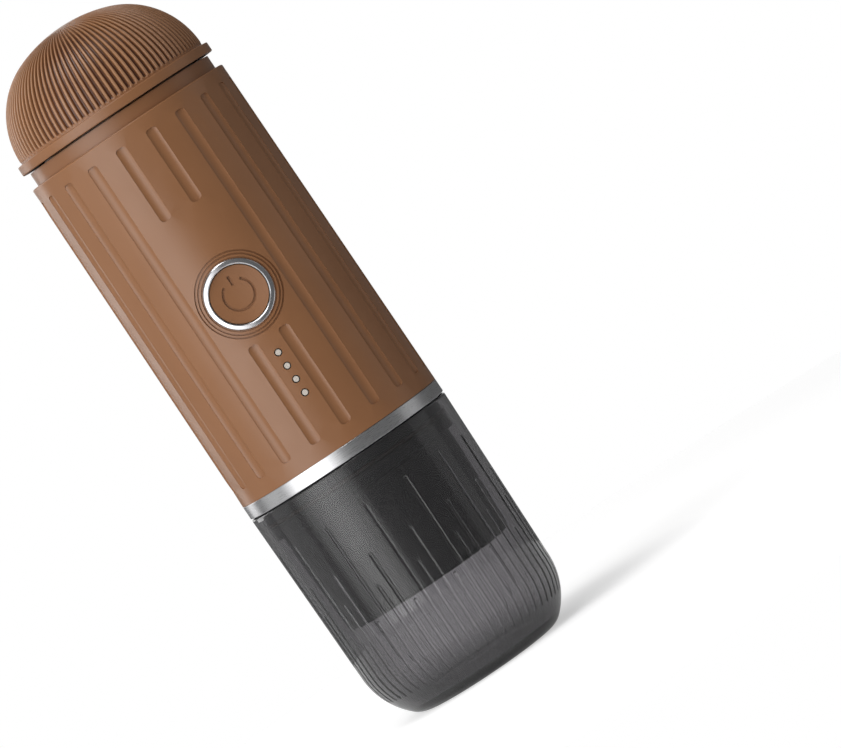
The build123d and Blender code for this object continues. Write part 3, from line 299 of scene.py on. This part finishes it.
# Each material's two colours and its span of roughness, and where it isn't the usual one, its grain
materials = {
    "tan_plastic": moulded("tan_plastic", (0.264, 0.117, 0.049), (0.282, 0.127, 0.055), 0.29, 0.36),
    "dark_plastic": moulded("dark_plastic", (0.015, 0.014, 0.016), (0.020, 0.0185, 0.0215), 0.38, 0.50,
                            coarse_grain, satin_height, Specular_IOR_Level=satin_specular),
    "inner_plastic": moulded("inner_plastic", (0.060, 0.060, 0.063), (0.085, 0.085, 0.088), 0.45, 0.60),
    "seal_rubber": moulded("seal_rubber", (0.030, 0.013, 0.007), (0.040, 0.017, 0.009), 0.5, 0.65),
    "hose_rubber": moulded("hose_rubber", (0.60, 0.59, 0.55), (0.68, 0.67, 0.62), 0.35, 0.5),
    "cell_wrap": moulded("cell_wrap", (0.02, 0.09, 0.20), (0.03, 0.12, 0.25), 0.22, 0.32),
    "board_green": moulded("board_green", (0.010, 0.095, 0.035), (0.018, 0.13, 0.05), 0.3, 0.42),
    "chip_black": moulded("chip_black", (0.012, 0.012, 0.012), (0.022, 0.022, 0.022), 0.4, 0.55),
    "gear_plastic": moulded("gear_plastic", (0.62, 0.60, 0.52), (0.70, 0.68, 0.60), 0.35, 0.5),
    "foam_grey": moulded("foam_grey", (0.13, 0.13, 0.14), (0.20, 0.20, 0.21), 0.8, 0.95,
                         coarse_grain, foam_height),
    "lamp_white": moulded("lamp_white", (0.56, 0.51, 0.45), (0.64, 0.59, 0.53), 0.30, 0.42),
    "band_steel": metal("band_steel", (0.66, 0.66, 0.67), (0.70, 0.70, 0.71), 0.26, 0.31,
                        (0.04, 0.04, 1.0), 6000.0),
    "bezel_chrome": metal("bezel_chrome", (0.78, 0.78, 0.80), (0.84, 0.84, 0.86), 0.20, 0.26,
                          brush_scale=250.0),
    "inner_steel": metal("inner_steel", (0.52, 0.52, 0.53), (0.64, 0.64, 0.65), 0.25, 0.38,
                         (1.0, 1.0, 0.08), 1600.0),
    "screw_steel": metal("screw_steel", (0.42, 0.42, 0.43), (0.52, 0.52, 0.53), 0.28, 0.4),
    "tab_nickel": metal("tab_nickel", (0.60, 0.57, 0.50), (0.68, 0.65, 0.58), 0.25, 0.4),
    "motor_steel": metal("motor_steel", (0.48, 0.48, 0.49), (0.58, 0.58, 0.59), 0.22, 0.36,
                         (1.0, 1.0, 0.1), 1400.0),
    "heater_alloy": metal("heater_alloy", (0.66, 0.66, 0.68), (0.76, 0.76, 0.78), 0.25, 0.4),
    "smoked_clear": smoked("smoked_clear", (0.965, 0.940, 0.975), (0.907, 0.884, 0.917), smoke_density,
                           0.012, 0.030),
}

for part in record["subparts"]:
    shown = nodes[part["node"]]
    shown.data.materials.clear()
    shown.data.materials.append(materials[part["material_slot"]])


# Turned pieces that stand for CAD nodes whose fine grooves need soft edges
corner_share = 0.45
corner_steps = 5


def smooth(share):
    """Eases a share from 0 to 1 in and out."""
    return share * share * (3 - 2 * share)


def arc_run(centre, radius, start, end, steps):
    """Points of an arc in the profile plane, between two angles in degrees."""
    turns = [math.radians(start + (end - start) * place / steps) for place in range(steps + 1)]
    return [(centre[0] + radius * math.cos(turn), centre[1] + radius * math.sin(turn)) for turn in turns]


def bend(start, corner, end, steps):
    """Points of a curve that rounds a corner."""
    shares = [place / steps for place in range(steps + 1)]
    return [tuple(start.lerp(corner, share).lerp(corner.lerp(end, share), share)) for share in shares]


def soften(points, radius):
    """Rounds the inner corners of a run of points with small curves."""
    softened = [points[0]]
    for before, corner, after in zip(points, points[1:], points[2:]):
        corner = Vector(corner)
        back = Vector(before) - corner
        ahead = Vector(after) - corner
        reach = min(radius, back.length * corner_share, ahead.length * corner_share)
        start = corner + back.normalized() * reach
        end = corner + ahead.normalized() * reach
        softened += bend(start, corner, end, corner_steps)
    softened.append(points[-1])
    return softened


def divide(points, longest):
    """Adds points so that no run is longer than a given length."""
    divided = [points[0]]
    for start, end in zip(points, points[1:]):
        steps = max(1, math.ceil((Vector(end) - Vector(start)).length / longest))
        shares = [(place + 1) / steps for place in range(steps)]
        divided += [tuple(Vector(start).lerp(Vector(end), share)) for share in shares]
    return divided


def turned(name, profile, angles, depth_at):
    """Closed form turned about Z. The profile runs from pole to pole, with the solid on its right, in
    millimetres; depth_at(radii, heights, angles) gives how far the surface is cut in at each point."""
    path = np.array(profile)
    along = np.gradient(path, axis=0)
    along /= np.linalg.norm(along, axis=1)[:, None]
    columns = len(angles)
    radii = path[:, 0:1]
    heights = path[:, 1:2]
    depth = depth_at(radii, heights, angles[None, :])
    ring_radius = radii + along[:, 1:2] * depth
    ring_height = heights - along[:, 0:1] * depth
    points = np.stack([
        ring_radius * np.cos(angles),
        ring_radius * np.sin(angles),
        ring_height * np.ones(columns),
    ], axis=-1) * MM
    rows = len(path) - 2
    rings = points[1:-1].reshape(-1, 3)
    poles = points[[0, -1], 0]
    first = np.arange(rows - 1)[:, None] * columns
    this = np.arange(columns)[None, :]
    following = (this + 1) % columns
    below = first + columns
    quads = np.stack([first + this, below + this, below + following, first + following], axis=-1)
    top = rows * columns
    last = (rows - 1) * columns
    faces = quads.reshape(-1, 4).tolist()
    faces += [(top, place, (place + 1) % columns) for place in range(columns)]
    faces += [(top + 1, last + (place + 1) % columns, last + place) for place in range(columns)]
    mesh = bpy.data.meshes.new(name)
    mesh.from_pydata(np.concatenate([rings, poles]).tolist(), [], faces)
    mesh.shade_smooth()
    cut = mesh.attributes.new("cut", "FLOAT", "POINT")
    depth_shares = (depth * np.ones((len(path), columns)))[1:-1].ravel() / depth.max()
    cut.data.foreach_set("value", np.append(depth_shares, (0.0, 0.0)))
    piece = bpy.data.objects.new(name, mesh)
    bpy.context.scene.collection.objects.link(piece)
    return piece


def finish_piece(piece, body, slot, *replaced):
    """Gives a new piece its material, its body and the CAD nodes that it stands for."""
    piece.data.materials.append(materials[slot])
    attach(piece, body)
    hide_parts(*replaced)


# Dome of the lid: fine flutes that fade towards the crown. Sizes in millimetres, angles in degrees
dome_low, dome_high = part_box("lid_dome")
flange_bottom = dome_low.z / MM
apex = dome_high.z / MM
flange_radius = dome_high.x / MM
flange_height = 3.1
flange_top = flange_bottom + flange_height
dome_radius = 33.6
crown_radius = 45.0
shoulder_rise = 0.7
shoulder_z = flange_top + shoulder_rise
dome_wall = 2.2
dome_flutes = 100
flute_columns = 16
flute_crest = 0.22
flute_floor = 0.78
crest_rise = 0.12
flute_depth = 0.85
flute_lift = 0.1
flute_start = shoulder_z + flute_lift
flute_rise = 0.25
fade_outer = 24.0
fade_inner = 7.0
flange_rounding = 0.35
liner_radius = 33.1
liner_height = 1.4
crown_rows = 24
shoulder_rows = 60
inner_rows = 20
crown_drop = crown_radius - (apex - shoulder_z)
radius_squares = crown_radius ** 2 - dome_radius ** 2 - crown_drop ** 2
shoulder_arc = radius_squares / (2 * (crown_radius - dome_radius))
shoulder_centre = (dome_radius - shoulder_arc, shoulder_z)
crown_centre = (0.0, apex - crown_radius)
crown_angle = 90.0
meeting = math.degrees(math.atan2(shoulder_z - crown_centre[1], shoulder_centre[0]))


def dome_depth(radii, heights, angles):
    """Flute depth over the dome's outer surface."""
    outside = np.arange(len(radii))[:, None] < dome_outside_rows
    phase = (angles * dome_flutes / FULL_TURN) % 1.0
    wave = (1.0 - np.cos(FULL_TURN * phase)) / 2
    valley = smooth(np.clip((wave - flute_crest) / (flute_floor - flute_crest), 0.0, 1.0))
    fade = np.clip((radii - fade_inner) / (fade_outer - fade_inner), 0.0, 1.0)
    rise = smooth(np.clip((heights - flute_start) / flute_rise, 0.0, 1.0))
    return (flute_depth * valley - crest_rise * (1.0 - valley)) * fade * rise * outside


dome_outside = arc_run(crown_centre, crown_radius, crown_angle, meeting, crown_rows)
dome_outside += arc_run(shoulder_centre, shoulder_arc, meeting, 0.0, shoulder_rows)[1:]
dome_outside_rows = len(dome_outside)
dome_inside = arc_run(shoulder_centre, shoulder_arc - dome_wall, 0.0, meeting, inner_rows)
dome_inside += arc_run(crown_centre, crown_radius - dome_wall, meeting, crown_angle, inner_rows)[1:]
dome_foot = soften([
    dome_outside[-1],
    (dome_radius, flange_top),
    (flange_radius, flange_top),
    (flange_radius, flange_bottom),
    (liner_radius, flange_bottom),
    (liner_radius, flange_bottom + liner_height),
    (dome_radius - dome_wall, flange_bottom + liner_height),
    dome_inside[0],
], flange_rounding)
dome_columns = dome_flutes * flute_columns
dome_angles = np.arange(dome_columns) * FULL_TURN / dome_columns
dome = turned("ribbed_dome", dome_outside + dome_foot[1:-1] + dome_inside, dome_angles, dome_depth)
finish_piece(dome, "tank_lid", "tan_plastic", "lid_dome")

# Cup: thin lines of four lengths pressed into its outer wall. Sizes in millimetres, angles in degrees
_, cup_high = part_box("cup")
cup_height = cup_high.z / MM
cup_radius = cup_high.x / MM
heel_radius = 35.0
heel_height = 19.5
bottom_arc = 24.1
foot_reach = 2.6
cup_wall = 2.4
cup_floor = 4.0
recess_radius = 18.0
recess_depth = 0.8
line_step = 6.0
line_tops = (65.6, 42.3, 52.0, 32.7)
front_angle = -90.0
front_top = 1
line_bottom = 9.3
line_depth = 0.3
line_half = 0.66
line_arc = (line_half ** 2 + line_depth ** 2) / (2 * line_depth)
line_offsets = (0.0, 0.12, 0.24, 0.36, 0.46, 0.55, 0.62, 0.67, 0.8, 1.2)
line_row = 0.9
tip_row = 0.12
tip_reach = 0.9
cup_rounding = 0.9
foot_rounding = 0.405
bottom_centre = (heel_radius - bottom_arc, heel_height)
inner_arc = bottom_arc - cup_wall
heel_rows = 60
foot_rows = 8
bowl_rows = 24


def cup_depth(radii, heights, angles):
    """Depth of the pressed lines over the cup's outer wall."""
    outside = np.arange(len(radii))[:, None] >= cup_inside_rows
    turn = (np.degrees(angles) - front_angle) / line_step
    line = np.round(turn)
    across = (turn - line) * math.radians(line_step) * heel_radius
    tops = np.array(line_tops)[(line.astype(int) + front_top) % len(line_tops)]
    above = np.maximum(heights - tops, 0.0)
    below = np.maximum(line_bottom - heights, 0.0)
    spread = np.sqrt(across ** 2 + above ** 2 + below ** 2)
    groove = np.sqrt(line_arc ** 2 - np.minimum(spread, line_half) ** 2) - (line_arc - line_depth)
    return groove * outside


foot_angle = -math.degrees(math.asin(heel_height / bottom_arc))
inner_foot_angle = -math.degrees(math.asin((heel_height - cup_floor) / inner_arc))
foot = arc_run(bottom_centre, bottom_arc, foot_angle, 0.0, 1)[0]
heel_angle = foot_angle + math.degrees(foot_reach / bottom_arc)
heel_run = arc_run(bottom_centre, bottom_arc, heel_angle, 0.0, heel_rows)
cup_outside = soften([
    (0.0, recess_depth),
    (recess_radius, recess_depth),
    (recess_radius, 0.0),
    (foot[0] - foot_reach, 0.0),
], foot_rounding)
cup_outside += bend(Vector(cup_outside[-1]), Vector(foot), Vector(heel_run[0]), foot_rows)[1:]
cup_outside += divide(heel_run, line_row)[1:]
cup_rim = soften([
    (heel_radius, heel_height),
    (cup_radius, cup_height),
    (cup_radius - cup_wall, cup_height),
    (heel_radius - cup_wall, heel_height),
], cup_rounding)
rim_start = 1
wall_heights = set(np.arange(heel_height + line_row, cup_height - line_row, line_row))
for line_top in line_tops:
    wall_heights = {height for height in wall_heights if abs(height - line_top) > tip_reach}
    wall_heights |= set(line_top + np.arange(-tip_reach, tip_reach, tip_row))
wall_lean = (cup_radius - heel_radius) / (cup_height - heel_height)
for height in sorted(wall_heights):
    cup_outside.append((heel_radius + (height - heel_height) * wall_lean, height))
cup_outside.append(cup_rim[rim_start])
cup_inside = cup_rim[rim_start + 1:]
cup_inside += arc_run(bottom_centre, inner_arc, 0.0, inner_foot_angle, bowl_rows)[1:]
cup_inside.append((0.0, cup_floor))
cup_inside_rows = len(cup_inside)
cup_profile = cup_inside[::-1] + cup_outside[::-1]
line_turns = np.array(sorted({-offset for offset in line_offsets} | set(line_offsets))) / heel_radius
line_count = round(FULL_TURN / math.radians(line_step))
line_places = math.radians(line_step) * np.arange(line_count)
cup_angles = (line_places[:, None] + line_turns[None, :]).ravel()
cup = turned("smoked_cup", cup_profile, cup_angles, cup_depth)
finish_piece(cup, "cup", "smoked_clear", "cup")


# Floor, light and world, in metres
floor_radius = 0.34
floor_sides = 96
floor_tone = 0.52
floor_tone_high = 0.53
floor_roughness = 0.9
# Painted shadow: the floor's glow dips round this point beside the foot and rises outwards
painted_shadow_centre = (0.022, 0.022, 0.0)
glow_and_painted_shadow_steps = (
    (0.0, 0.42), (0.09, 0.49), (0.14, 0.59), (0.19, 0.65), (0.35, 0.655), (0.7, 0.605), (1.0, 0.60)
)
world_diffuse = 0.28
world_glossy = 0.11
mirrored_floor_share = 0.35


def make_floor():
    """A pale floor that shows white and takes the object's shadow, with a painted shadow where its glow
    dips round a point beside the object's foot.
    """
    mesh = bpy.data.meshes.new("floor")
    turns = [FULL_TURN * place / floor_sides for place in range(floor_sides)]
    corners = [(floor_radius * math.cos(turn), floor_radius * math.sin(turn), 0.0) for turn in turns]
    mesh.from_pydata(corners, [], [tuple(range(floor_sides))])
    floor = bpy.data.objects.new("floor", mesh)
    bpy.context.scene.collection.objects.link(floor)
    surface = Surface("floor_pale")
    place = surface.place()
    grain = surface.noise(place, floor_scale)
    tone = surface.span(grain, "Fac", floor_tone, floor_tone_high)
    surface.link(tone, "Result", surface.shader, "Base Color")
    surface.set(surface.shader, Roughness=floor_roughness, Specular_IOR_Level=0.0, Emission_Color=WHITE)
    paths = surface.node("ShaderNodeLightPath")
    seen = surface.node("ShaderNodeMath", operation="MAXIMUM")
    surface.link(paths, "Is Camera Ray", seen, 0)
    mirrored = surface.node("ShaderNodeMath", operation="MULTIPLY")
    surface.link(paths, "Is Glossy Ray", mirrored, 0)
    mirrored.inputs[1].default_value = mirrored_floor_share
    through = surface.node("ShaderNodeMath", operation="MAXIMUM")
    surface.link(mirrored, "Value", through, 0)
    surface.link(paths, "Is Transmission Ray", through, 1)
    surface.link(through, "Value", seen, 1)
    # Painted shadow: the glow is lowest near the point beside the foot
    away = surface.node("ShaderNodeVectorMath", operation="DISTANCE")
    surface.link(place, "Vector", away, 0)
    away.inputs[1].default_value = painted_shadow_centre
    share = surface.span(away, "Value", 0.0, 1.0, 0.0, floor_radius)
    level = surface.steps(share, "Result", glow_and_painted_shadow_steps)
    glow = surface.node("ShaderNodeMath", operation="MULTIPLY")
    surface.link(seen, "Value", glow, 0)
    surface.link(level, "Color", glow, 1)
    surface.link(glow, "Value", surface.shader, "Emission Strength")
    mesh.materials.append(surface.material)


def make_world():
    """White for the camera and through clear plastic, dim in reflections, plain for the light itself."""
    world = bpy.data.worlds.new("studio")
    world.use_nodes = True
    bpy.context.scene.world = world
    sky = Nodes(world.node_tree)
    background = sky.tree.nodes["Background"]
    paths = sky.node("ShaderNodeLightPath")
    seen = sky.node("ShaderNodeMath", operation="MAXIMUM")
    sky.link(paths, "Is Camera Ray", seen, 0)
    sky.link(paths, "Is Transmission Ray", seen, 1)
    mirrored = sky.node("ShaderNodeMapRange")
    sky.set(mirrored, To_Min=world_diffuse, To_Max=world_glossy)
    sky.link(paths, "Is Glossy Ray", mirrored, "Value")
    level = sky.node("ShaderNodeMapRange")
    sky.set(level, To_Max=1.0)
    sky.link(mirrored, "Result", level, "To Min")
    sky.link(seen, "Value", level, "Value")
    sky.set(background, Color=WHITE)
    sky.link(level, "Result", background, "Strength")


def make_lamp(name, azimuth, distance, height, size, radiance):
    """A rectangular soft box at an angle from the front, positive to the right, aimed at the object."""
    turn = math.radians(azimuth)
    place = Vector((distance * math.sin(turn), -distance * math.cos(turn), height))
    width, tall = size
    data = bpy.data.lights.new(name, "AREA")
    data.shape = "RECTANGLE"
    data.size = width
    data.size_y = tall
    data.energy = radiance * width * tall * math.pi
    lamp = bpy.data.objects.new(name, data)
    aim = (lamp_target - place).to_track_quat("-Z", "Y")
    lamp.matrix_world = Matrix.Translation(place) @ aim.to_matrix().to_4x4()
    bpy.context.scene.collection.objects.link(lamp)


lamp_target = Vector((0.0, 0.0, 0.12))
key_azimuth = -40.5
key_distance = 1.4
key_step = 0.012
key_height = 0.4
key_tall = 1.9
key_widths = (0.5, 0.9, 1.3, 1.7, 2.1)
key_radiance = 0.54

# Each lamp's azimuth, distance, height, width and length, and radiance
lamps = {
    "left_side": (-96.0, 1.5, 0.35, (0.8, 1.4), 0.45),
    "left_edge": (-137.0, 1.4, 0.575, (0.5, 1.2), 1.85),
    "top_fill": (-30.0, 0.45, 1.5, (0.9, 0.9), 3.0),
    "right_side": (85.0, 1.4, 0.35, (0.7, 1.2), 0.3),
    "back_fill": (-174.0, 1.6, 0.6, (1.0, 1.0), 0.9),
}

# The key light is a nest of lamps, brightest in the middle, where they all overlap
for place, width in enumerate(key_widths):
    distance = key_distance + place * key_step
    lamps["key_" + str(place)] = (key_azimuth, distance, key_height, (width, key_tall), key_radiance)

make_floor()
make_world()
for name, settings in lamps.items():
    make_lamp(name, *settings)

bpy.context.scene.view_settings.view_transform = "Standard"
